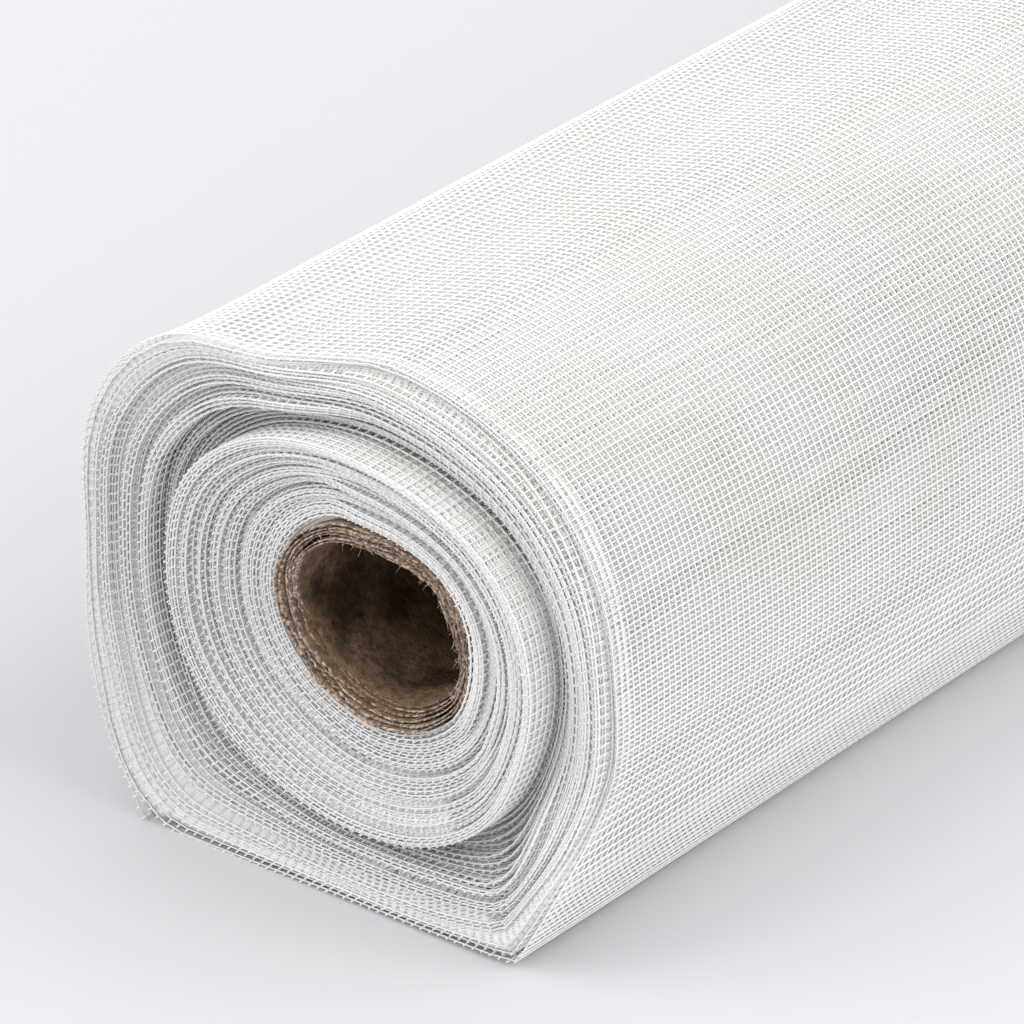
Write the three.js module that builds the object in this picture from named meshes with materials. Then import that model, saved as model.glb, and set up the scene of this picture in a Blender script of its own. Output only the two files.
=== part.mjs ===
// Roll of insect screen mesh lying on its side: one wound roll of mesh on one cardboard core tube.
// Millimetres, Z up, the roll's axis along Y with the end seen from the front at -Y.
import * as THREE from 'three';

// Driving dimensions
const STOCK_WIDTH = 600;
const TUBE_LENGTH = 598;
const CORE_HEIGHT = 47.7;
const TUBE_WALL = 3.4;
const TUBE_BACK = 2;
const CLEARANCE = 0.3;
const FACET_ANGLE = 5;
const SECTORS = Math.round(360 / FACET_ANGLE);

// Radii about the core's centre, at equal angles from +X towards +Z.
// The roll has sagged to a rounded square with a tight corner at the lower right, and the core is
// pressed oval. The inner roll is the part of it that stands out at the near end.
const ROLL_RADII = [41.6, 41.9, 42.1, 41.4, 41.7, 45, 54.5, 57.5, 55.5, 58, 63, 54, 50, 58, 51.5, 44.8];
const INNER_RADII = [32.3, 31.9, 30.5, 29, 29.2, 31.6, 35.3, 38.8, 39.5, 39.6, 38, 36.1, 35.1, 35, 34.4, 32.8];
const TUBE_RADII = [19, 19.5, 19, 17.5, 16.8, 17.6, 18.4, 19, 19, 17.9, 16.6, 16, 16.4, 16.8, 17.4, 18.4];

// Groups of turns from the core outwards, as shares of the inner roll's wall and of the wrap
// round it.
// to: the group's outer limit as a share of its wall
// low, high: how far its near edge lies behind the inner roll's, at the lower left and upper right
// far: how far its far edge stands out from the far end
const INNER_GROUPS = [
  { to: 0.20, low: 2.2, high: 1.5, far: 0.0 },
  { to: 0.40, low: 2.8, high: 1.0, far: 0.6 },
  { to: 0.62, low: 2.0, high: 2.6, far: 0.2 },
  { to: 0.82, low: 1.0, high: 0.6, far: 1.0 },
  { to: 1.00, low: 0.0, high: 0.0, far: 0.4 },
];
const WRAP_GROUPS = [
  { to: 0.24, low: 5.5, high: 7.4, far: 1.2 },
  { to: 0.46, low: 2.0, high: 5.9, far: 0.3 },
  { to: 0.70, low: 2.4, high: 5.4, far: 0.9 },
  { to: 0.88, low: 0.9, high: 6.4, far: 0.1 },
  { to: 1.00, low: -1.0, high: 9.3, far: 0.7 },
];

// The set back rises from low to high between these cosines of the angle from the upper right
const UPPER_RIGHT = THREE.MathUtils.degToRad(38);
const RISE_FROM = 0.1;
const RISE_TO = 0.6;

// The step between two groups slants outwards by this share of the wall
const STEP_SLANT = 0.012;

// Periodic smooth interpolation of radii listed at equal angles
function radiusAt(radii, angle) {
  const count = radii.length;
  const place = (angle / (2 * Math.PI)) * count;
  const first = Math.floor(place);
  const t = place - first;
  const [p0, p1, p2, p3] = [-1, 0, 1, 2].map((k) => radii[(first + k + count) % count]);
  const linear = 0.5 * (p2 - p0);
  const square = p0 - 2.5 * p1 + 2 * p2 - 0.5 * p3;
  const cube = 0.5 * (p3 - p0) + 1.5 * (p1 - p2);
  return p1 + t * (linear + t * (square + t * cube));
}

// Outer radius of the roll, flattened where it lies on the floor
function rollRadius(angle) {
  const down = -Math.sin(angle);
  const free = radiusAt(ROLL_RADII, angle);
  return down > 0 ? Math.min(free, CORE_HEIGHT / down) : free;
}

function innerRadius(angle) {
  return radiusAt(INNER_RADII, angle);
}

function tubeRadius(angle) {
  return radiusAt(TUBE_RADII, angle);
}

// One closed ring of points: radius and place along Y are functions of the angle
function ring(radius, along) {
  const points = [];
  for (let i = 0; i < SECTORS; i += 1) {
    const angle = (2 * Math.PI * i) / SECTORS;
    const r = radius(angle);
    points.push([r * Math.cos(angle), along(angle), CORE_HEIGHT + r * Math.sin(angle)]);
  }
  return points;
}

// Closed solid through a cycle of rings, each joined to the next and the last to the first
function solidThrough(rings) {
  const positions = [];
  const indices = [];
  for (const points of rings) {
    for (const point of points) {
      positions.push(...point);
    }
  }
  for (let k = 0; k < rings.length; k += 1) {
    const here = k * SECTORS;
    const next = ((k + 1) % rings.length) * SECTORS;
    for (let i = 0; i < SECTORS; i += 1) {
      const j = (i + 1) % SECTORS;
      indices.push(here + i, next + j, here + j);
      indices.push(here + i, next + i, next + j);
    }
  }
  const geometry = new THREE.BufferGeometry();
  geometry.setAttribute('position', new THREE.Float32BufferAttribute(positions, 3));
  geometry.setIndex(indices);
  geometry.computeVertexNormals();
  return geometry;
}

// Radius of a turn that lies at a share of the wall between two outlines
function between(inner, outer, share) {
  return (angle) => inner(angle) + share * (outer(angle) - inner(angle));
}

function nearEdge(group) {
  return (angle) => {
    const facing = Math.cos(angle - UPPER_RIGHT);
    const rise = THREE.MathUtils.smoothstep(facing, RISE_FROM, RISE_TO);
    return group.low + rise * (group.high - group.low);
  };
}

function farEdge(group) {
  return () => STOCK_WIDTH + group.far;
}

// Rings over the groups of one wall at one end, from its inside to its outside
function groupRings(groups, inner, outer, edge) {
  const rings = [];
  let from = 0;
  for (const group of groups) {
    rings.push(ring(between(inner, outer, from), edge(group)));
    rings.push(ring(between(inner, outer, group.to), edge(group)));
    from = group.to + STEP_SLANT;
  }
  return rings;
}

function endRings(edge) {
  const bore = (angle) => tubeRadius(angle) + CLEARANCE;
  const wrapStart = between(innerRadius, rollRadius, STEP_SLANT);
  return [
    ...groupRings(INNER_GROUPS, bore, innerRadius, edge),
    ...groupRings(WRAP_GROUPS, wrapStart, rollRadius, edge),
  ];
}

function meshRoll() {
  const near = endRings(nearEdge);
  const far = endRings(farEdge);
  return solidThrough([...near, ...far.reverse()]);
}

function coreTube() {
  const inside = (angle) => tubeRadius(angle) - TUBE_WALL;
  const nearEnd = () => TUBE_BACK;
  const farEnd = () => TUBE_BACK + TUBE_LENGTH;
  return solidThrough([
    ring(inside, nearEnd),
    ring(tubeRadius, nearEnd),
    ring(tubeRadius, farEnd),
    ring(inside, farEnd),
  ]);
}

const meshWhite = new THREE.MeshStandardMaterial({ name: 'screen_mesh', color: 0xd8d7d4, roughness: 0.6 });
const cardboard = new THREE.MeshStandardMaterial({ name: 'cardboard', color: 0x8a6a48, roughness: 0.95 });

const roll = new THREE.Mesh(meshRoll(), meshWhite);
roll.name = 'screen_mesh_roll';
const tube = new THREE.Mesh(coreTube(), cardboard);
tube.name = 'cardboard_core_tube';

const part = new THREE.Group();
part.name = 'insect_screen_roll';
part.add(roll, tube);

// The middle of the footprint is put at the origin
const box = new THREE.Box3().setFromObject(part);
const middle = box.getCenter(new THREE.Vector3());
for (const mesh of part.children) {
  mesh.geometry.translate(-middle.x, -middle.y, -box.min.z);
}

export default part;
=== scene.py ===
"""Roll of insect screen on its side: woven threads, wound turns and a frayed cardboard core.

Lengths are in millimetres in the script's own functions and become metres in the meshes.
X is across the roll, Y along it with the near end at -Y, Z up.
"""
import math

import bpy
import numpy as np
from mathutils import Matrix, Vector


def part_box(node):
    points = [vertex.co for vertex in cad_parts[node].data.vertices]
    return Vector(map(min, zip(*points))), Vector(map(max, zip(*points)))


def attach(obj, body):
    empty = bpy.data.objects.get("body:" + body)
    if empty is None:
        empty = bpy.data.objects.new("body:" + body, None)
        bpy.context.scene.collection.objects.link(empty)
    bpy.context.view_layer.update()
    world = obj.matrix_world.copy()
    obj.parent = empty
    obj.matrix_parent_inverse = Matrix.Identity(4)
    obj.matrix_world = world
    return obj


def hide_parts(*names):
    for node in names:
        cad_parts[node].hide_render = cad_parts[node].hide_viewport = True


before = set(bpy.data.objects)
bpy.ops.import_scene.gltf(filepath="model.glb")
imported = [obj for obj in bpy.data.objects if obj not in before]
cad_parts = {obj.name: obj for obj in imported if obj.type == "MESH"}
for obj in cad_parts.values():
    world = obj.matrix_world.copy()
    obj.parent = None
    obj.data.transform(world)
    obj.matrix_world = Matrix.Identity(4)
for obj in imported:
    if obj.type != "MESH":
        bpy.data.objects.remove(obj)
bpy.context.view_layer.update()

MM = 0.001
FULL = 2 * math.pi
RNG = np.random.default_rng(7)

# Stock sizes of the screen and its core. The threads along Y lie outside the others by WEAVE.
STOCK_WIDTH = 600.0
HOOP_PITCH = 1.46
AXIAL_PITCH = 1.70
THREAD_RADIUS = 0.18
WEAVE = 0.09
TUBE_WALL = 3.4
CLEARANCE = 0.3

# Radii about the core's centre at equal angles from +X towards +Z, as on the solid part
ROLL_RADII = [41.6, 41.9, 42.1, 41.4, 41.7, 45, 54.5, 57.5, 55.5, 58, 63, 54, 50, 58, 51.5, 44.8]
INNER_RADII = [
    32.3, 31.9, 30.5, 29, 29.2, 31.6, 35.3, 38.8, 39.5, 39.6, 38, 36.1, 35.1, 35, 34.4, 32.8,
]
TUBE_RADII = [19, 19.5, 19, 17.5, 16.8, 17.6, 18.4, 19, 19, 17.9, 16.6, 16, 16.4, 16.8, 17.4, 18.4]

# Turns of the inner roll and of the wrap round it, and the angle where the winding starts and ends
INNER_TURNS = 38
WRAP_TURNS = 26
TURNS = INNER_TURNS + WRAP_TURNS
SEAM = math.radians(228)

# Groups of turns that shifted along the core together: the turn each one ends at, how far its near
# edge lies behind the inner roll's at the lower left and at the upper right, and how ragged it is
GROUPS = [
    (3, 3.0, 1.8, 0.5),
    (8, 3.4, 1.2, 0.15),
    (14, 3.2, 2.6, 0.15),
    (16, 4.2, 3.0, 0.3),
    (20, 2.8, 1.0, 0.6),
    (25, 2.0, 2.4, 0.6),
    (30, 1.4, 0.6, 0.5),
    (34, 0.6, 1.0, 0.3),
    (38, 0.0, 0.0, 0.15),
    (42, 6.5, 7.4, 0.6),
    (45, 4.6, 7.2, 0.7),
    (48, 1.0, 5.9, 0.15),
    (51, 2.4, 5.7, 0.5),
    (54.5, 1.2, 5.5, 0.15),
    (57, 1.8, 5.4, 0.4),
    (60.5, 0.1, 6.2, 0.35),
    (64, -0.5, 9.3, 0.3),
]
# A step between two groups takes this much of a turn on either side, and an edge goes from its
# lower left to its upper right place between these cosines of the angle from the upper right
GROUP_STEP = 0.12
UPPER_RIGHT = math.radians(38)
RISE = (0.1, 0.6)

# At the lower right corner the wrap has come loose: the share of the wall that its turns reach
# there, against the share that they reach elsewhere
CORNER = math.radians(-52)
CORNER_WIDTH = 0.3
CORNER_ROUNDING = 7.0
EVEN_SHARE = [0.0, 0.31, 0.81, 0.90, 1.0]
CORNER_SHARE = [0.0, 0.48, 0.70, 0.84, 1.0]


def spline(p0, p1, p2, p3, t):
    """Smooth curve between p1 and p2, through four values in a row, as t goes from 0 to 1."""
    linear = 0.5 * (p2 - p0)
    square = p0 - 2.5 * p1 + 2 * p2 - 0.5 * p3
    cube = 0.5 * (p3 - p0) + 1.5 * (p1 - p2)
    return p1 + t * (linear + t * (square + t * cube))


def periodic(radii, angle):
    """Smooth periodic interpolation of radii listed at equal angles."""
    values = np.asarray(radii, float)
    count = len(values)
    position = np.asarray(angle) / FULL * count
    first = np.floor(position).astype(int)
    return spline(*(values[(first + k) % count] for k in (-1, 0, 1, 2)), position - first)


def smoothstep(x, low, high):
    t = np.clip((x - low) / (high - low), 0, 1)
    return t * t * (3 - 2 * t)


def noise_along(spacing, length, seed):
    """Smooth noise of about -1 to 1 along a line, with a new value every spacing."""
    knots = np.random.default_rng(seed).uniform(-1, 1, int(length / spacing) + 4)

    def value(x):
        position = np.clip(np.asarray(x, float) / spacing, 0, len(knots) - 4) + 1
        first = np.floor(position).astype(int)
        return spline(*(knots[first + k] for k in (-1, 0, 1, 2)), position - first)

    return value


def turned_by(angle, centre):
    """Angle from a centre, between minus and plus half a turn."""
    return (angle - centre + math.pi) % FULL - math.pi


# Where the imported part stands: the core's centre, the core's ends and the inner roll's near edge
TUBE_BACK = 2.0
FACET_ANGLE = 5
circle = np.radians(np.arange(0, 360, FACET_ANGLE))
tube_outline = periodic(TUBE_RADII, circle)
tube_low, tube_high = (np.array(corner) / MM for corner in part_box("cardboard_core_tube"))
CORE_X = tube_low[0] - (tube_outline * np.cos(circle)).min()
CORE_Z = tube_low[2] - (tube_outline * np.sin(circle)).min()
TUBE_NEAR = tube_low[1]
TUBE_FAR = tube_high[1]
FRONT = TUBE_NEAR - TUBE_BACK

# Below this sine of the angle downwards the floor doesn't shape the outline
LEAST_DOWN = 0.05


def roll_radius(angle, rounding):
    """Outline of the roll, flattened on the floor, with its corners there rounded off."""
    down = -np.sin(angle)
    free = periodic(ROLL_RADII, angle)
    floor = CORE_Z / np.maximum(down, LEAST_DOWN)
    rounded = 0.5 * (free + floor - np.hypot(free - floor, rounding))
    return np.where(down > LEAST_DOWN, rounded, free)


# Smooth noises along the winding, each with its own spacing and seed
WOUND_LENGTH = FULL * (TURNS + 2)
edge_wander = noise_along(math.radians(65), WOUND_LENGTH, 11)
turn_wander = noise_along(math.radians(50), WOUND_LENGTH, 12)
slow_wander = noise_along(FULL * 1.9, WOUND_LENGTH, 13)
far_wander = noise_along(FULL * 2.7, WOUND_LENGTH, 14)
flare_wave = noise_along(math.radians(21), WOUND_LENGTH, 15)

# How far turns wander in and out, and how far edges wander along Y
TURN_WANDER = 0.11
SLOW_WANDER = 0.2
FAR_WANDER = 0.15
# Wandering in and out grows over the first range of turns and fades over the second
WANDER_STARTS = (0, 1.5)
WANDER_ENDS = (TURNS - 3, TURNS - 1)


def turn_radius(wound):
    """Distance of the winding from the core's centre; wound is the angle wound so far."""
    angle = wound + SEAM
    turn = wound / FULL
    bore = periodic(TUBE_RADII, angle) + CLEARANCE + THREAD_RADIUS
    inner = periodic(INNER_RADII, angle)
    share_in = np.clip(turn / INNER_TURNS, 0, 1)
    share_out = np.clip((turn - INNER_TURNS) / WRAP_TURNS, 0, 1)
    outer = roll_radius(angle, CORNER_ROUNDING * (1 - share_out)) - THREAD_RADIUS - WEAVE
    corner = np.exp(-(turned_by(angle, CORNER) / CORNER_WIDTH) ** 2)
    share_out = share_out + corner * (np.interp(share_out, EVEN_SHARE, CORNER_SHARE) - share_out)
    radius = bore + share_in * (inner - bore) + share_out * (outer - inner)
    free = smoothstep(turn, *WANDER_STARTS) * (1 - smoothstep(turn, *WANDER_ENDS))
    return radius + free * TURN_WANDER * turn_wander(wound)


# The last turns stand away from the roll on the left, most at their edge, and the strip's free end
# curls up over its last few degrees
FLARE = 1.5
FLARE_FADE = 7.0
LEFT = math.radians(185)
LEFT_RISE = (0.1, 0.9)
LOOSE_TURNS = 4
LESS_LOOSE_TURNS = 20
LESS_LOOSE = 0.15
MEAN_WAVE = 0.45
WAVE_SWING = 0.55
FREE_END = math.radians(7)
FREE_END_LIFT = 2.4


def flare(wound, depth):
    """How far a turn stands away from the roll, at a depth behind its near edge."""
    angle = wound + SEAM
    turn = wound / FULL
    left = smoothstep(np.cos(turned_by(angle, LEFT)), *LEFT_RISE)
    loose = smoothstep(turn, TURNS - LOOSE_TURNS, TURNS)
    loose = loose + LESS_LOOSE * smoothstep(turn, TURNS - LESS_LOOSE_TURNS, TURNS - LOOSE_TURNS)
    wave = MEAN_WAVE + WAVE_SWING * flare_wave(wound)
    curl = FREE_END_LIFT * smoothstep(wound, TURNS * FULL - FREE_END, TURNS * FULL)
    return FLARE * left * loose * wave * np.exp(-np.maximum(depth, 0) / FLARE_FADE) + curl


def near_edge(wound):
    """Place of the winding's near edge along Y."""
    angle = wound + SEAM
    turn = wound / FULL
    rise = smoothstep(np.cos(angle - UPPER_RIGHT), *RISE)
    back = np.zeros_like(turn)
    ragged = np.zeros_like(turn)
    start = -1.0
    for end, low, high, rough in GROUPS:
        inside = smoothstep(turn, start - GROUP_STEP, start + GROUP_STEP)
        if end < TURNS:
            inside = inside * (1 - smoothstep(turn, end - GROUP_STEP, end + GROUP_STEP))
        back = back + inside * (low + rise * (high - low))
        ragged = ragged + inside * rough
        start = end
    return FRONT + back + ragged * edge_wander(wound) + SLOW_WANDER * slow_wander(wound)


# Most that a turn stands out at the far end
FAR_STEP = 1.2


def far_edge(wound):
    """Place of the winding's far edge along Y: nearly flush, with small steps between its turns."""
    step = 0.5 * FAR_STEP * (1 + far_wander(wound))
    return FRONT + STOCK_WIDTH + step + FAR_WANDER * edge_wander(wound)


def place(radius, angle, y):
    """Points in millimetres from polar places about the core."""
    x = CORE_X + radius * np.cos(angle)
    z = CORE_Z + radius * np.sin(angle)
    return np.stack(np.broadcast_arrays(x, y, z), -1)


# Meshes from arrays
def add_object(name, points, quads, tris=None, uv=None, smooth=True):
    """Object from points in millimetres and index arrays of quads and triangles."""
    quads = np.asarray(quads)
    tris = np.zeros((0, 3), int) if tris is None else tris
    mesh = bpy.data.meshes.new(name)
    corners = np.concatenate([quads.ravel(), tris.ravel()]).astype(np.int32)
    mesh.vertices.add(len(points))
    mesh.vertices.foreach_set("co", (np.asarray(points) * MM).astype(np.float32).ravel())
    mesh.loops.add(len(corners))
    mesh.loops.foreach_set("vertex_index", corners)
    mesh.polygons.add(len(quads) + len(tris))
    starts = np.concatenate([np.arange(len(quads)) * 4, len(quads) * 4 + np.arange(len(tris)) * 3])
    mesh.polygons.foreach_set("loop_start", starts.astype(np.int32))
    mesh.polygons.foreach_set("use_smooth", np.full(len(starts), smooth))
    if uv is not None:
        layer = mesh.uv_layers.new(name="UVMap")
        layer.data.foreach_set("uv", np.asarray(uv, np.float32)[corners].ravel())
    mesh.update(calc_edges=True)
    mesh.validate()
    obj = bpy.data.objects.new(name, mesh)
    bpy.context.scene.collection.objects.link(obj)
    return obj


SIDES = 3
SIDE_ANGLES = np.radians([90, 210, 330])[:, None]


def thread_mesh(lines, outward, radius):
    """Points, quads and end triangles of closed threads along lines (count, steps, 3)."""
    count, steps = lines.shape[:2]
    ahead = np.gradient(lines, axis=1)
    ahead /= np.linalg.norm(ahead, axis=2, keepdims=True)
    across = np.cross(ahead, outward)
    across /= np.linalg.norm(across, axis=2, keepdims=True)
    up = np.cross(across, ahead)
    size = np.broadcast_to(np.asarray(radius, float), (count, steps))[..., None, None]
    ring = across[:, :, None] * np.cos(SIDE_ANGLES) + up[:, :, None] * np.sin(SIDE_ANGLES)
    points = (lines[:, :, None] + size * ring).reshape(-1, 3)
    base = (np.arange(count)[:, None, None] * steps + np.arange(steps - 1)[:, None]) * SIDES
    side = np.arange(SIDES)
    turn = (side + 1) % SIDES
    quads = np.stack([base + side, base + turn, base + SIDES + turn, base + SIDES + side], -1)
    first = np.arange(count) * steps * SIDES
    last = first + (steps - 1) * SIDES
    tris = np.concatenate([
        np.stack([first + 2, first + 1, first], -1),
        np.stack([last, last + 1, last + 2], -1),
    ])
    return points, quads.reshape(-1, 4), tris


def joined(parts):
    """One set of points, quads and triangles from several."""
    points, quads, tris = [], [], []
    offset = 0
    for part_points, part_quads, part_tris in parts:
        points.append(part_points)
        quads.append(part_quads + offset)
        tris.append(part_tris + offset)
        offset += len(part_points)
    return np.concatenate(points), np.concatenate(quads), np.concatenate(tris)


def grid_solid(rings):
    """Points and quads through a closed cycle of rings with the same number of points."""
    count = len(rings)
    points = np.concatenate(rings)
    sectors = len(rings[0])
    index = np.arange(count * sectors).reshape(count, sectors)
    after = np.roll(index, -1, axis=0)
    quads = np.stack([index, after, np.roll(after, -1, axis=1), np.roll(index, -1, axis=1)], -1)
    return points, quads.reshape(-1, 4)


# The strip of screen as it is wound: arc length along it, and where its threads along Y stand
STEPS_PER_TURN = 360
fine_wound = np.linspace(0, TURNS * FULL, TURNS * STEPS_PER_TURN + 1)
fine_points = place(turn_radius(fine_wound), fine_wound + SEAM, 0.0)
fine_length = np.concatenate([[0], np.cumsum(np.linalg.norm(np.diff(fine_points, axis=0), axis=1))])
fine_ahead = np.gradient(fine_points, axis=0)
fine_ahead /= np.linalg.norm(fine_ahead, axis=1, keepdims=True)
fine_outward = np.stack([fine_ahead[:, 2], 0 * fine_ahead[:, 2], -fine_ahead[:, 0]], -1)
fine_bend = np.degrees(np.unwrap(np.arctan2(fine_ahead[:, 2], fine_ahead[:, 0])))
axial_places = np.arange(0.5 * AXIAL_PITCH, fine_length[-1], AXIAL_PITCH)
axial_wound = np.interp(axial_places, fine_length, fine_wound)
axial_bend = np.interp(axial_places, fine_length, fine_bend)


def outward_at(wound):
    return np.stack([np.interp(wound, fine_wound, fine_outward[:, k]) for k in range(3)], -1)


def axial_between(start, stop):
    """Places of the threads along Y from one turn to another."""
    return axial_wound[(axial_wound > start * FULL) & (axial_wound <= stop * FULL)]


# Places this close to the first or last one are left out
NEAREST = 1e-3


def samples_between(start, stop, every, most_bend):
    """Places between two turns for the threads round the roll.

    They lie every few threads along Y, and closer where the strip bends by most_bend degrees.
    """
    start = start * FULL
    stop = stop * FULL
    chosen = []
    last_bend = None
    for index in np.flatnonzero((axial_wound >= start) & (axial_wound <= stop)):
        bend = axial_bend[index]
        if last_bend is None or index - chosen[-1] >= every or abs(bend - last_bend) > most_bend:
            chosen.append(index)
            last_bend = bend
    wound = axial_wound[chosen]
    inner = wound[(wound > start + NEAREST) & (wound < stop - NEAREST)]
    return np.concatenate([[start], inner, [stop]])


def hoops(wound, y, thickness=THREAD_RADIUS):
    """Threads round the roll, one for each row of places along Y."""
    radius = turn_radius(wound)[None, :] + flare(wound, y - near_edge(wound))
    lines = place(radius, wound[None, :] + SEAM, y)
    outward = np.broadcast_to(outward_at(wound)[None], lines.shape)
    return thread_mesh(lines, outward, thickness)


# Places along a full thread, closer together near the near end where the turns flare
FLARE_PLACES = np.array([0.0, 2.5, 5.0, 8.0, 12.0, 18.0, 26.0]) / STOCK_WIDTH
FULL_PLACES = np.concatenate([FLARE_PLACES, np.linspace(0.08, 1.0, 15)])
STUB_PLACES = np.array([0.0, 1.0])
# A full thread sways sideways in two waves along Y, which turn by one radian in these lengths
SWAY_LENGTHS = (61.0, 23.0)
SWAY_PHASE = 1.3


def axial_threads(wound, start, stop, shares, sway=0.0):
    """Threads along Y from start to stop, one at each place, outside the threads round the roll."""
    y = start[:, None] + (stop - start)[:, None] * shares
    depth = y - near_edge(wound)[:, None]
    radius = (turn_radius(wound) + WEAVE)[:, None] + flare(wound[:, None], depth)
    long_wave = np.sin(y / SWAY_LENGTHS[0])
    short_wave = np.sin(y / SWAY_LENGTHS[1] + SWAY_PHASE)
    swing = sway * long_wave * short_wave / radius
    lines = place(radius, wound[:, None] + SEAM + swing, y)
    outward = np.broadcast_to(outward_at(wound)[:, None], lines.shape)
    return thread_mesh(lines, outward, THREAD_RADIUS)


# Materials
def principled(name, base, roughness, specular):
    """Material, its nodes, its links and its shader."""
    material = bpy.data.materials.new(name)
    material.use_nodes = True
    shader = material.node_tree.nodes["Principled BSDF"]
    shader.inputs["Base Color"].default_value = (*base, 1)
    shader.inputs["Roughness"].default_value = roughness
    shader.inputs["Specular IOR Level"].default_value = specular
    return material, material.node_tree.nodes, material.node_tree.links, shader


def colour_ramp(nodes, links, value, stops):
    """Colour from a value through a ramp with two stops of place and colour."""
    ramp = nodes.new("ShaderNodeValToRGB")
    for element, (position, colour) in zip(ramp.color_ramp.elements, stops):
        element.position = position
        element.color = (*colour, 1)
    links.new(value, ramp.inputs["Fac"])
    return ramp.outputs["Color"]


def noise_ramp(nodes, links, coords, scale, stops, detail=4.0):
    """Colour from a noise through a colour ramp."""
    noise = nodes.new("ShaderNodeTexNoise")
    noise.inputs["Scale"].default_value = scale
    noise.inputs["Detail"].default_value = detail
    links.new(coords, noise.inputs["Vector"])
    return colour_ramp(nodes, links, noise.outputs["Fac"], stops)


def math_node(nodes, links, operation, *values):
    """Output of a math node whose inputs are sockets or numbers."""
    node = nodes.new("ShaderNodeMath")
    node.operation = operation
    for socket, value in zip(node.inputs, values):
        if isinstance(value, (int, float)):
            socket.default_value = value
        else:
            links.new(value, socket)
    return node.outputs[0]


def bump_from(nodes, links, shader, height, strength, distance):
    bump = nodes.new("ShaderNodeBump")
    bump.inputs["Strength"].default_value = strength
    bump.inputs["Distance"].default_value = distance
    links.new(height, bump.inputs["Height"])
    links.new(bump.outputs["Normal"], shader.inputs["Normal"])


def mapped(nodes, links, value, low, high):
    """0 to 1 as a value rises from low to high."""
    node = nodes.new("ShaderNodeMapRange")
    node.inputs["From Min"].default_value = low
    node.inputs["From Max"].default_value = high
    links.new(value, node.inputs["Value"])
    return node.outputs["Result"]


def colour_mix(nodes, links, first, second, factor=1.0, blend="MIX"):
    """Two colours mixed by a number or a socket."""
    node = nodes.new("ShaderNodeMix")
    node.data_type = "RGBA"
    node.blend_type = blend
    if isinstance(factor, float):
        node.inputs["Factor"].default_value = factor
    else:
        links.new(factor, node.inputs["Factor"])
    links.new(first, node.inputs["A"])
    links.new(second, node.inputs["B"])
    return node.outputs["Result"]


def thread_material():
    """White coated yarn: slightly glossy, with faint soiling."""
    base = (0.95, 0.95, 0.94)
    material, nodes, links, shader = principled("screen_yarn", base, roughness=0.38, specular=0.5)
    coords = nodes.new("ShaderNodeTexCoord").outputs["Object"]
    stops = [(0.3, (0.935, 0.925, 0.905)), (0.6, (0.965, 0.96, 0.948))]
    links.new(noise_ramp(nodes, links, coords, 45.0, stops), shader.inputs["Base Color"])
    grain = nodes.new("ShaderNodeTexNoise")
    grain.inputs["Scale"].default_value = 2500.0
    links.new(coords, grain.inputs["Vector"])
    bump_from(nodes, links, shader, grain.outputs["Fac"], strength=0.25, distance=0.0001)
    return material


def weave_holes(nodes, links, uv, scale, shift):
    """1 on the threads of a layer and less in its holes, from a UV that counts threads."""
    split = nodes.new("ShaderNodeSeparateXYZ")
    links.new(uv, split.inputs[0])
    waves = []
    for axis in ("X", "Y"):
        counted = math_node(nodes, links, "MULTIPLY_ADD", split.outputs[axis], FULL * scale, shift)
        waves.append(math_node(nodes, links, "SINE", counted))
    return math_node(nodes, links, "MAXIMUM", *waves)


def woven_material():
    """Tightly wound layers seen through the outer ones: painted shade in the spots where their
    holes line up.
    """
    base = (0.85, 0.85, 0.84)
    material, nodes, links, shader = principled("packed_layers", base, roughness=0.6, specular=0.3)
    uv = nodes.new("ShaderNodeTexCoord").outputs["UV"]
    upper = weave_holes(nodes, links, uv, scale=1.0, shift=0.0)
    lower = weave_holes(nodes, links, uv, scale=0.985, shift=2.1)
    hole_shade_mask = math_node(nodes, links, "MAXIMUM", upper, lower)
    # The darker stop is painted shade seen through the lined-up holes; the lighter one is the
    # threads' own colour.
    stops = [(0.05, (0.50, 0.495, 0.48)), (0.6, (0.90, 0.90, 0.885))]
    links.new(colour_ramp(nodes, links, hole_shade_mask, stops), shader.inputs["Base Color"])
    bump_from(nodes, links, shader, hole_shade_mask, strength=0.4, distance=0.0003)
    return material


yarn = thread_material()
packed = woven_material()


def screen_piece(name, parts):
    """One piece of yarn from several sets of threads."""
    points, quads, tris = joined(parts)
    obj = add_object(name, points, quads, tris)
    obj.data.materials.append(yarn)
    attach(obj, "root")


# Outermost two layers over the whole width: the turns where each one starts and ends, and how many
# threads along Y there are from one corner of its threads round the roll to the next
LAYERS = [("outer_layer", TURNS - 1, TURNS, 3), ("second_layer", TURNS - 2, TURNS - 1, 4)]
ROW_COUNT = int(STOCK_WIDTH / HOOP_PITCH)
FIRST_ROW = 0.3
LAYER_BEND = 14
LAYER_SWAY = 0.35
# Shortest and longest end of a thread along Y beyond the edge
LAYER_STUBS = (0.02, 0.16)


def outer_layer(name, start, stop, every):
    wound = samples_between(start, stop, every, LAYER_BEND)
    share = ((np.arange(ROW_COUNT) + FIRST_ROW) / ROW_COUNT)[:, None]
    y = near_edge(wound) + share * (far_edge(wound) - near_edge(wound))
    screen_piece(name + "_hoops", [hoops(wound, y)])
    places = axial_between(start, stop)
    stubs = RNG.uniform(*LAYER_STUBS, len(places))
    near_ends = near_edge(places) - stubs
    far_ends = far_edge(places) + stubs
    lengthwise = axial_threads(places, near_ends, far_ends, FULL_PLACES, LAYER_SWAY)
    screen_piece(name + "_lengthwise", [lengthwise])


for layer in LAYERS:
    outer_layer(*layer)

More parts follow.
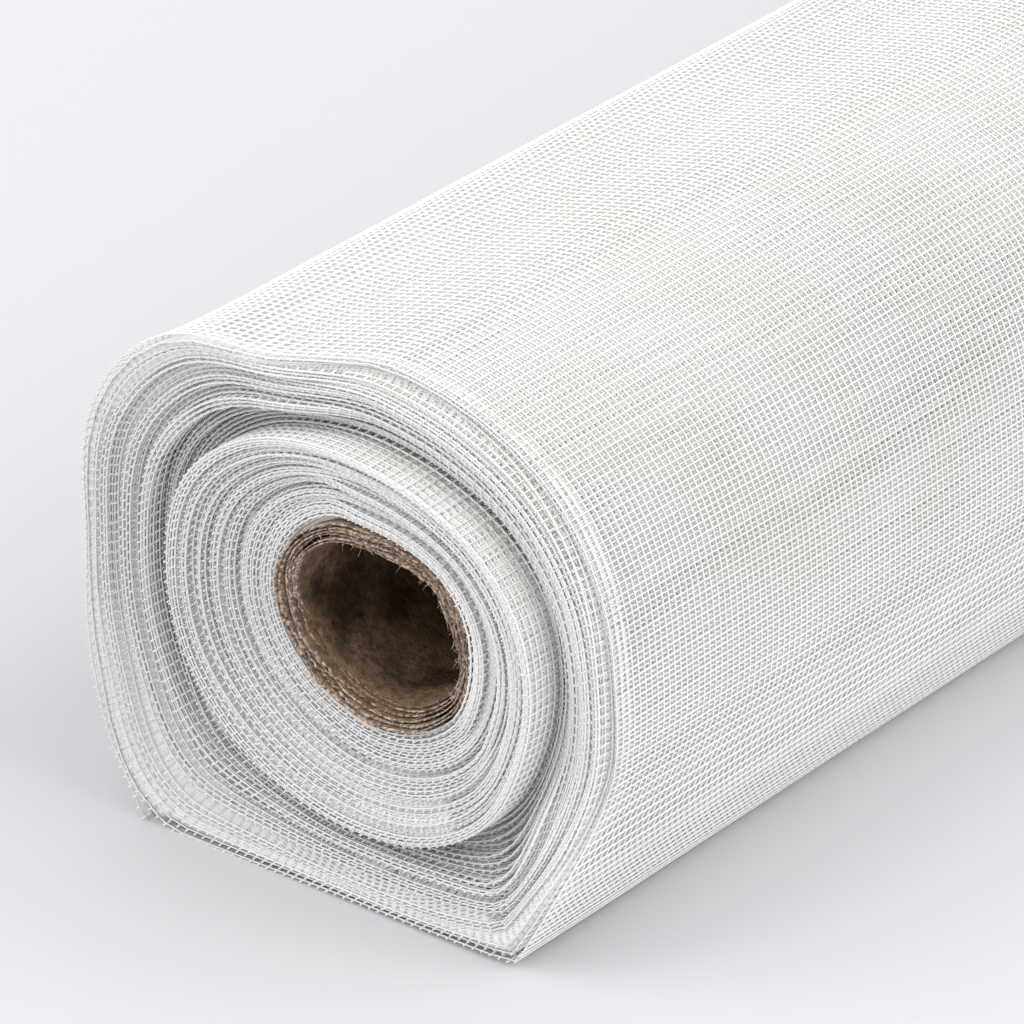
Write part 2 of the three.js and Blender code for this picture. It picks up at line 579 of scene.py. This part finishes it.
# Ends of the turns below them: a band of rows at each end, deeper where a step bares it
NEAR_ROWS = 3
DEEP_ROWS = 7
FAR_ROWS = 2
FIRST_TURN = 0.05
DEEP_FROM = 33
DEEP_TO = 48
LAST_TURN = TURNS - 2
# The first row lies this far inside the edge, and its thread is thicker by this factor
EDGE_ROW = 0.4
EDGE_THICKER = 1.15
BAND_BEND = 16
BAND_STUBS = (0.05, 0.3)
# Direction along Y out of each end
NEAR = -1
FAR = 1


def end_band(name, start, stop, side, rows, every):
    """Edge threads and thread ends of the turns from start to stop, at the near or far end."""
    edge = near_edge if side == NEAR else far_edge
    wound = samples_between(start, stop, every, BAND_BEND)
    offsets = np.arange(rows) * HOOP_PITCH + EDGE_ROW
    sizes = np.where(np.arange(rows) == 0, EDGE_THICKER, 1.0) * THREAD_RADIUS
    round_threads = hoops(wound, edge(wound) - side * offsets[:, None], sizes[:, None])
    places = axial_between(start, stop)
    stub_ends = edge(places) + side * RNG.uniform(*BAND_STUBS, len(places))
    inner_ends = edge(places) - side * rows * HOOP_PITCH
    screen_piece(name, [round_threads, axial_threads(places, stub_ends, inner_ends, STUB_PLACES)])


end_band("inner_turns_near", FIRST_TURN, DEEP_FROM, NEAR, NEAR_ROWS, 2)
end_band("step_turns_near", DEEP_FROM, DEEP_TO, NEAR, DEEP_ROWS, 2)
end_band("wrap_turns_near", DEEP_TO, LAST_TURN, NEAR, NEAR_ROWS, 2)
end_band("inner_turns_far", FIRST_TURN, INNER_TURNS, FAR, FAR_ROWS, 2)
end_band("wrap_turns_far", INNER_TURNS, LAST_TURN, FAR, FAR_ROWS, 3)

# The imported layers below: a solid under the outer two layers, with a stepped end inside each band
BODY_SECTORS = 240
BODY_RINGS = 10
# The body and its rim at the near end lie this many whole turns below the outermost one and sunk
# by this much, and the rim reaches this deep before it slants down to the body
BODY_BELOW = 2
RIM_BELOW = 1
SUNK = 0.1
RIM_DEPTH = 4.5
RIM_SLANT = 0.5
# A step between two groups lies this many turns inside the group that stands out, and its two
# edges are those of the turns beside it
STEP_TURNS = 1.6
STEP_SLANT = 0.02
BESIDE_STEP = 0.3
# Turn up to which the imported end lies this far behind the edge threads
BODY_DEPTHS = [(38, 1.0), (48.5, 3.6), (TURNS, 0.65)]
# The pattern counts threads at this radius, and shifts by one thread along Y from turn to turn
PATTERN_RADIUS = 50.0
TURN_PITCH = 0.42
body_angle = np.linspace(0, FULL, BODY_SECTORS, endpoint=False)


def below_outermost(turns):
    """Angles wound so far, this many whole turns below the last one."""
    return (TURNS - 1 - turns) * FULL + (body_angle - SEAM) % FULL


def wound_near(turn):
    """Angles wound so far, on the stretch of winding next to a turn."""
    ahead = turned_by(body_angle, SEAM + turn * FULL)
    return np.clip(turn * FULL + ahead, 0, TURNS * FULL)


def body_depth(turn):
    return next(depth for limit, depth in BODY_DEPTHS if turn <= limit)


def packed_end(side):
    """Rings over one end: each group's layers, and the steps between them."""
    edge = near_edge if side == NEAR else far_edge
    first = wound_near(0.0)
    rings = [place(turn_radius(first), body_angle, edge(first) - side * body_depth(0))]
    for limit, _, _, _ in GROUPS:
        if limit > TURNS - 1 - BODY_BELOW - STEP_TURNS:
            break
        before = limit - BESIDE_STEP
        after = limit + BESIDE_STEP
        here = edge(wound_near(before)) - side * body_depth(before)
        beyond = edge(wound_near(after)) - side * body_depth(after)
        inwards = (here - beyond) * side > 0
        wall = turn_radius(wound_near(limit + np.where(inwards, -STEP_TURNS, STEP_TURNS)))
        rings.append(place(wall, body_angle, here))
        rings.append(place(wall + STEP_SLANT, body_angle, beyond))
    last = below_outermost(BODY_BELOW)
    last_y = edge(last) - side * body_depth(TURNS)
    rings.append(place(turn_radius(last) - SUNK, body_angle, last_y))
    return rings


def near_rim():
    """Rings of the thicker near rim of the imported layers."""
    wound = below_outermost(RIM_BELOW)
    below = below_outermost(BODY_BELOW)
    front = near_edge(wound)
    rings = []
    for depth in (body_depth(TURNS), RIM_DEPTH):
        radius = turn_radius(wound) - SUNK + flare(wound, depth)
        rings.append(place(radius, body_angle, front + depth))
    rings.append(place(turn_radius(below) - SUNK, body_angle, front + RIM_DEPTH + RIM_SLANT))
    return rings


def packed_layers():
    near = packed_end(NEAR) + near_rim()
    far = packed_end(FAR)
    middle = []
    for share in np.linspace(0, 1, BODY_RINGS + 2)[1:-1]:
        middle.append(near[-1] + share * (far[-1] - near[-1]))
    points, quads = grid_solid(near + middle + far[::-1])
    x, y, z = (points - (CORE_X, 0, CORE_Z)).T
    along_turn = np.arctan2(z, x) * PATTERN_RADIUS / AXIAL_PITCH
    along_y = y / HOOP_PITCH + np.hypot(z, x) / TURN_PITCH
    obj = add_object("packed_turns", points, quads, uv=np.stack([along_turn, along_y], -1))
    obj.data.materials.append(packed)
    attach(obj, "root")
    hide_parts("screen_mesh_roll")


packed_layers()

# The cardboard core: wound plies whose near ends are torn and have come apart
PLIES = 6
PLY_SHARE = 0.46
PLY_SECTORS = 360
PLY_DEPTHS = [0.0, 0.4, 0.9, 1.6, 2.6, 4.0, 6.5, 12.0, 40.0, 150.0, 350.0]
# Torn fibres show fully down to the first depth, and the plain side of a ply from the second
TIP_DEPTHS = (0.3, 1.7)
# Shade is painted into the board, darker inwards between these depths
PAINTED_SHADE_DEPTHS = (4.0, 28.0)
# The plies come apart above these depths and are glued together below them
GLUED_DEPTHS = (1.5, 5.0)
PLY_STEP = TUBE_WALL / PLIES
# Each ply is torn back by this much more than the one round it, at this angle, and by less and
# less between these cosines of the angle from it
TORN_STEP = 0.75
TORN_BACK = math.radians(262)
TORN_RISE = (-0.6, 0.6)
# Depths of the tears and the lean of a ply, and what is added to each where the end has frayed
WAVY = (0.5, 0.7)
JAGGED = (0.26, 0.2)
LEAN = (0.2, 0.3)
FRAYED = math.radians(212)
FRAYED_WIDTH = 0.45
# The tears and leans fade inwards, a ply's tip is thinned and its inner lip lies a little deeper
TEAR_FADE = 2.4
TIP_FADE = 0.5
TIP_THINNING = 0.11
LIP = 0.15
# Noises round a ply: the first ply's seed, the number of waves and how fast they weaken
WAVY_NOISE = (40, 10, 0.3)
JAGGED_NOISE = (60, 90, 0.1)
LEAN_NOISE = (80, 12, 0.4)
THIN_NOISE = (90, 70, 0.1)
# The far end is cut, with a slight wave
FAR_BACK = 0.3
FAR_WAVE = 0.25
FAR_WAVES = 7


def board_material():
    """Raw brown board: pale torn fibres at the near end with fine painted highlights and shade,
    stains inside, and painted shade that darkens it inwards.
    """
    base = (0.45, 0.35, 0.26)
    material, nodes, links, shader = principled("core_board", base, roughness=0.95, specular=0.15)
    texture = nodes.new("ShaderNodeTexCoord")
    coords = texture.outputs["Object"]
    split = nodes.new("ShaderNodeSeparateXYZ")
    links.new(texture.outputs["UV"], split.inputs[0])
    depth = split.outputs["Y"]
    # The torn fibres' mottling is partly their own tone and partly painted light: fine painted
    # highlights on the pale fibres, and painted shade in their dark patches and specks.
    torn_tone_and_light_stops = [(0.36, (0.24, 0.165, 0.115)), (0.60, (0.80, 0.65, 0.53))]
    speck_shade_stops = [(0.42, (0.46, 0.42, 0.39)), (0.55, (1, 1, 1))]
    side_stops = [(0.34, (0.14, 0.088, 0.052)), (0.64, (0.29, 0.20, 0.13))]
    # Painted shade: deep inside the core, the plain side's colour darkens to these stops
    deep_shade_stops = [(0.34, (0.08, 0.048, 0.027)), (0.64, (0.16, 0.105, 0.062))]
    blotch_stops = [(0.42, (0.36, 0.33, 0.32)), (0.52, (1, 1, 1))]
    torn = noise_ramp(nodes, links, coords, 1900.0, torn_tone_and_light_stops, detail=8.0)
    speck_shade = noise_ramp(nodes, links, coords, 1100.0, speck_shade_stops, detail=8.0)
    side = noise_ramp(nodes, links, coords, 800.0, side_stops, detail=6.0)
    deep = noise_ramp(nodes, links, coords, 700.0, deep_shade_stops, detail=6.0)
    blotch = noise_ramp(nodes, links, coords, 75.0, blotch_stops, detail=8.0)
    tips = colour_mix(nodes, links, torn, speck_shade, blend="MULTIPLY")
    inside = colour_mix(nodes, links, side, deep, mapped(nodes, links, depth, *PAINTED_SHADE_DEPTHS))
    stained_and_shaded = colour_mix(nodes, links, inside, blotch, blend="MULTIPLY")
    colour = colour_mix(nodes, links, tips, stained_and_shaded, mapped(nodes, links, depth, *TIP_DEPTHS))
    links.new(colour, shader.inputs["Base Color"])
    fibre = nodes.new("ShaderNodeTexNoise")
    fibre.inputs["Scale"].default_value = 1600.0
    fibre.inputs["Detail"].default_value = 6.0
    links.new(coords, fibre.inputs["Vector"])
    bump_from(nodes, links, shader, fibre.outputs["Fac"], strength=0.9, distance=0.0004)
    return material


board = board_material()
ply_angle = np.linspace(0, FULL, PLY_SECTORS, endpoint=False)


def ring_noise(number, first_seed, waves, fall):
    """Periodic noise round a ply, about -1 to 1, from waves of falling strength."""
    rng = np.random.default_rng(first_seed + number)
    value = np.zeros(PLY_SECTORS)
    for k in range(1, waves + 1):
        value += rng.normal() / k**fall * np.cos(k * ply_angle + rng.uniform(0, FULL))
    return value / np.abs(value).max()


def ply_shape(number):
    """Outer and inner radius, torn back distance and lean of one ply."""
    outer = periodic(TUBE_RADII, ply_angle) - number * PLY_STEP
    inner = outer - PLY_STEP * PLY_SHARE
    wavy = ring_noise(number, *WAVY_NOISE)
    jagged = ring_noise(number, *JAGGED_NOISE)
    leaning = ring_noise(number, *LEAN_NOISE)
    back = TORN_STEP * number * smoothstep(np.cos(ply_angle - TORN_BACK), *TORN_RISE)
    frayed = np.exp(-(turned_by(ply_angle, FRAYED) / FRAYED_WIDTH) ** 2)
    torn = back + (WAVY[0] + WAVY[1] * frayed) * wavy + (JAGGED[0] + JAGGED[1] * frayed) * jagged
    lean = np.minimum((LEAN[0] + LEAN[1] * frayed) * leaning, CLEARANCE + number * PLY_STEP)
    return outer, inner, torn, lean


def core_ply(number):
    """One paper ply: a thin closed shell with a ragged near end that leans off its neighbours."""
    outer, inner, torn, lean = ply_shape(number)
    glued = outer - PLY_STEP
    thin = TIP_THINNING * np.abs(ring_noise(number, *THIN_NOISE))
    outside_rings = []
    inside_rings = []
    for depth in PLY_DEPTHS:
        fade = math.exp(-depth / TEAR_FADE)
        tip = math.exp(-depth / TIP_FADE)
        y = TUBE_NEAR + depth + fade * torn
        outside_rings.append(place(outer + fade * lean - tip * thin, ply_angle, y))
        inside = inner + smoothstep(depth, *GLUED_DEPTHS) * (glued - inner)
        lip_y = y + LIP * tip
        inside_rings.append(place(inside + fade * lean + tip * thin, ply_angle, lip_y))
    far_y = TUBE_FAR - FAR_BACK + FAR_WAVE * np.sin(FAR_WAVES * ply_angle + number)
    far_rings = [place(outer, ply_angle, far_y), place(glued, ply_angle, far_y)]
    rings = outside_rings + far_rings + inside_rings[::-1]
    depths = PLY_DEPTHS + [STOCK_WIDTH, STOCK_WIDTH] + PLY_DEPTHS[::-1]
    points, quads = grid_solid(rings)
    uv = np.stack([np.tile(ply_angle, len(rings)), np.repeat(depths, PLY_SECTORS)], -1)
    obj = add_object(f"core_ply_{number + 1}", points, quads, uv=uv)
    obj.data.materials.append(board)
    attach(obj, "root")
    return obj


plies = [core_ply(number) for number in range(PLIES)]
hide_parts("cardboard_core_tube")

FIBRES = 520
FIBRE_STEPS = 4
FIBRE_RADII = (0.05, 0.02)
FIBRE_LENGTHS = (0.25, 1.0)
# A few fibres are longer by this factor
LONG_SHARE = 0.06
LONG_FACTOR = 1.6
# Fibres point out of the end by at least this much, and curl by this much
FIBRE_OUT = 0.2
FIBRE_CURL = 0.5
# Direction that their sides are set out from
FIBRE_SIDE = np.array([0.31, 0.17, 0.94])


def torn_fibres():
    """Loose paper fibres that stand out of the torn ply ends."""
    rng = np.random.default_rng(23)
    lines = []
    for _ in range(FIBRES):
        number = rng.integers(PLIES)
        outer, inner, torn, lean = ply_shape(number)
        k = rng.integers(PLY_SECTORS)
        radius = rng.uniform(inner[k], outer[k]) + lean[k]
        root = place(radius, ply_angle[k], TUBE_NEAR + torn[k] + LIP)
        heading = np.array([rng.normal(), -abs(rng.normal()) - FIBRE_OUT, rng.normal()])
        heading /= np.linalg.norm(heading)
        curl = rng.normal(size=3) * FIBRE_CURL
        reach = rng.uniform(*FIBRE_LENGTHS)
        reach *= LONG_FACTOR if rng.random() < LONG_SHARE else 1.0
        share = np.linspace(0, 1, FIBRE_STEPS)[:, None]
        lines.append(root + reach * (share * heading + share**2 * curl))
    lines = np.array(lines)
    outward = np.broadcast_to(FIBRE_SIDE, lines.shape)
    radii = np.linspace(*FIBRE_RADII, FIBRE_STEPS)[None, :]
    points, quads, tris = thread_mesh(lines, outward, radii)
    obj = add_object("core_fibres", points, quads, tris)
    fibre = principled("torn_fibre", (0.62, 0.51, 0.41), roughness=0.9, specular=0.2)[0]
    obj.data.materials.append(fibre)
    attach(obj, "root")


torn_fibres()

# Pale floor, soft light and the camera; the lights are placed in metres
FLOOR_HALF = 6000.0
WORLD_STRENGTH = 0.95
LIT_PLACE = (0, -0.2, 0)


def pale_floor():
    corners = np.array([[-1, -1, 0], [1, -1, 0], [1, 1, 0], [-1, 1, 0]])
    floor = add_object("floor", corners * FLOOR_HALF, [[0, 1, 2, 3]], smooth=False)
    pale = principled("pale_floor", (0.655, 0.651, 0.672), roughness=0.65, specular=0.2)[0]
    floor.data.materials.append(pale)


def studio_world():
    world = bpy.data.worlds.new("studio")
    world.use_nodes = True
    background = world.node_tree.nodes["Background"]
    background.inputs["Color"].default_value = (0.98, 0.985, 1.0, 1)
    background.inputs["Strength"].default_value = WORLD_STRENGTH
    bpy.context.scene.world = world


def area_light(name, location, size, power, colour):
    """Round soft light that faces the near part of the roll."""
    data = bpy.data.lights.new(name, "AREA")
    data.shape = "DISK"
    data.size = size
    data.energy = power
    data.color = colour
    light = bpy.data.objects.new(name, data)
    light.location = location
    facing = Vector(LIT_PLACE) - Vector(location)
    light.rotation_euler = facing.to_track_quat("-Z", "Y").to_euler()
    bpy.context.scene.collection.objects.link(light)


pale_floor()
studio_world()
area_light("key", (1.9, 0.4, 1.9), size=2.6, power=37, colour=(1.0, 0.99, 0.975))
area_light("fill", (-1.1, -1.6, 1.9), size=2.2, power=20, colour=(1.0, 0.985, 0.965))

VIEW_AZIMUTH = math.radians(38.5)
VIEW_ELEVATION = math.radians(27.7)
FOCAL_PIXELS = 8000.0
FRAME_PIXELS = 1024.0
PIXELS_PER_MM = 6.6
# This pixel of the frame shows this place, from the core's centre and the inner roll's near edge
ANCHOR_PIXEL = (395.0, 740.0)
ANCHOR = np.array([CORE_X + 7.9, FRONT - 2.0, 33.4])


def camera():
    sin_a, cos_a = math.sin(VIEW_AZIMUTH), math.cos(VIEW_AZIMUTH)
    sin_e, cos_e = math.sin(VIEW_ELEVATION), math.cos(VIEW_ELEVATION)
    forward = np.array([-sin_a * cos_e, cos_a * cos_e, -sin_e])
    right = np.array([cos_a, sin_a, 0.0])
    up = np.cross(right, forward)
    distance = FOCAL_PIXELS / PIXELS_PER_MM
    middle = FRAME_PIXELS / 2
    aside = (ANCHOR_PIXEL[0] - middle) / PIXELS_PER_MM
    above = -(ANCHOR_PIXEL[1] - middle) / PIXELS_PER_MM
    location = ANCHOR - right * aside - up * above - forward * distance
    data = bpy.data.cameras.new("camera")
    data.sensor_width = 36.0
    data.lens = FOCAL_PIXELS / FRAME_PIXELS * data.sensor_width
    data.clip_start = 0.05
    data.clip_end = 50.0
    obj = bpy.data.objects.new("camera", data)
    obj.location = Vector(location * MM)
    obj.rotation_euler = Vector(forward).to_track_quat("-Z", "Y").to_euler()
    bpy.context.scene.collection.objects.link(obj)
    bpy.context.scene.camera = obj


camera()
bpy.context.scene.view_settings.view_transform = "Standard"
